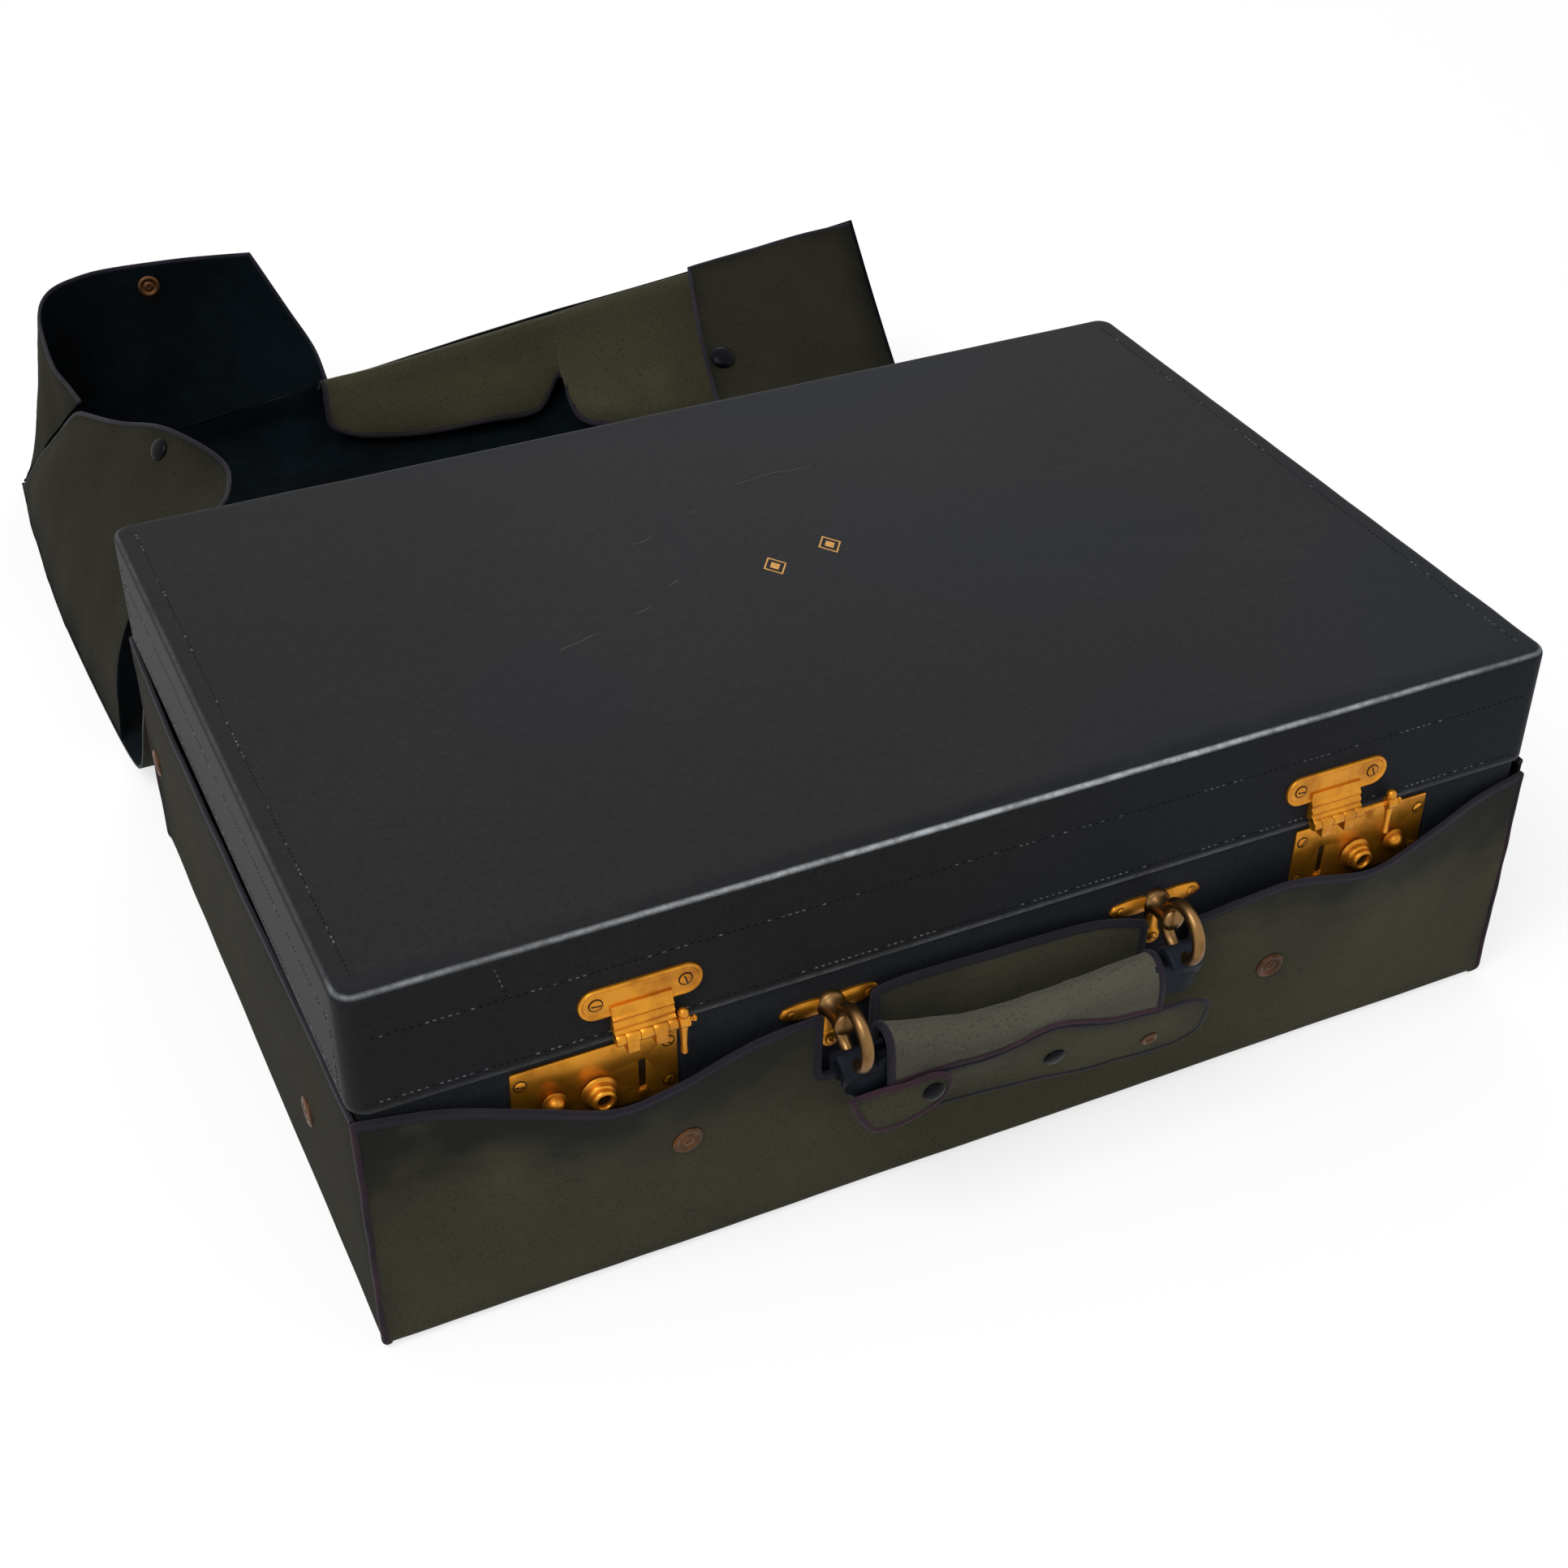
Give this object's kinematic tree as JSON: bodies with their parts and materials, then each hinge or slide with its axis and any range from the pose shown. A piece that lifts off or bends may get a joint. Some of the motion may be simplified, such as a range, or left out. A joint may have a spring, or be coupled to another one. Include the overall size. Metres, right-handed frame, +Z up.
{
  "type": "leather suitcase",
  "caption": "Flat leather suitcase with brass locks and a sleeved carrying handle, in the lower half of a canvas slip cover whose top is thrown back behind it.",
  "frame": {"origin": "on the table, under the middle of the closed case", "axes": "+X along the front to the right, +Y from the front to the back, +Z up"},
  "size_m": [0.5702, 0.8513, 0.1904],
  "materials": {
    "leather": "grained, worn at the edges",
    "grip_leather": "grained",
    "board": "bare",
    "case_lining": "matt",
    "canvas": "faded canvas",
    "cover_lining": "brushed felt",
    "piping": "bound edge",
    "gilt_brass": "satin gilt",
    "steel": "plain",
    "snap_caps": "gloss enamel",
    "copper_snaps": "tarnished",
    "thread": "waxed"
  },
  "bodies": {
    "base": {"base_frame": "board", "base_leather": "leather", "base_lining": "case_lining", "base_lip": "case_lining", "hinge_base_leaves": "gilt_brass", "hinge_pins": "steel", "hinge_base_screws": "gilt_brass", "left_lock_plate": "gilt_brass", "right_lock_plate": "gilt_brass", "left_lock_case": "gilt_brass", "right_lock_case": "gilt_brass", "lock_springs": "steel", "lock_screws": "gilt_brass", "left_handle_bracket": "gilt_brass", "right_handle_bracket": "gilt_brass", "bracket_screws": "gilt_brass", "tray_bottom": "canvas", "tray_front_wall": "canvas", "tray_back_wall": "canvas", "tray_left_wall": "canvas", "tray_right_wall": "canvas", "tray_snap_sockets": "copper_snaps"},
    "lid": {"lid_frame": "board", "lid_leather": "leather", "lid_lining": "case_lining", "hinge_lid_leaves": "gilt_brass", "hinge_lid_screws": "gilt_brass", "left_hasp": "gilt_brass", "right_hasp": "gilt_brass", "hasp_screws": "gilt_brass"},
    "handle": {"left_handle_ring": "gilt_brass", "right_handle_ring": "gilt_brass", "handle_grip": "grip_leather", "left_grip_loop": "grip_leather", "right_grip_loop": "grip_leather", "handle_sleeve": "canvas", "sleeve_band": "canvas", "sleeve_tab": "canvas", "sleeve_snaps": "copper_snaps"},
    "cover_flap": {"flap_panel": "cover_lining", "flap_left_wall": "canvas", "flap_front_wall": "cover_lining", "flap_front_strip": "canvas", "flap_right_wall": "canvas", "flap_snap_caps": "snap_caps"},
    "left_bolt": {"left_lock_bolt": "steel", "left_bolt_knob": "gilt_brass"},
    "right_bolt": {"right_lock_bolt": "steel", "right_bolt_knob": "gilt_brass"},
    "left_button": {"left_release_button": "gilt_brass"},
    "right_button": {"right_release_button": "gilt_brass"},
    "left_pin": {"left_cross_pin": "gilt_brass"},
    "right_pin": {"right_cross_pin": "gilt_brass"}
  },
  "joints": [
    {"name": "lid_hinge", "type": "hinge", "parent": "base", "child": "lid", "pos_m": [0, 0.1935, 0.131], "axis": [-1, 0, 0], "range_deg": [0, 95]},
    {"name": "handle_swing", "type": "hinge", "parent": "base", "child": "handle", "pos_m": [0, -0.2105, 0.1125], "axis": [-1, 0, 0], "range_deg": [0, 120]},
    {"name": "cover_flap_hinge", "type": "hinge", "parent": "base", "child": "cover_flap", "pos_m": [0, 0.19074, 0.09], "axis": [1, 0, 0], "range_deg": [0, 25]},
    {"name": "left_bolt_slide", "type": "slide", "parent": "base", "child": "left_bolt", "axis": [1, 0, 0], "range_m": [0, 0.005]},
    {"name": "right_bolt_slide", "type": "slide", "parent": "base", "child": "right_bolt", "axis": [-1, 0, 0], "range_m": [0, 0.005]},
    {"name": "left_button_press", "type": "slide", "parent": "base", "child": "left_button", "axis": [0, 1, 0], "range_m": [0, 0.0016], "stiffness_N_per_m": 600},
    {"name": "right_button_press", "type": "slide", "parent": "base", "child": "right_button", "axis": [0, 1, 0], "range_m": [0, 0.0016], "stiffness_N_per_m": 600},
    {"name": "left_cross_pin_slide", "type": "slide", "parent": "lid", "child": "left_pin", "axis": [1, 0, 0], "range_m": [0, 0.013]},
    {"name": "right_cross_pin_slide", "type": "slide", "parent": "lid", "child": "right_pin", "axis": [-1, 0, 0], "range_m": [0, 0.013]}
  ]
}
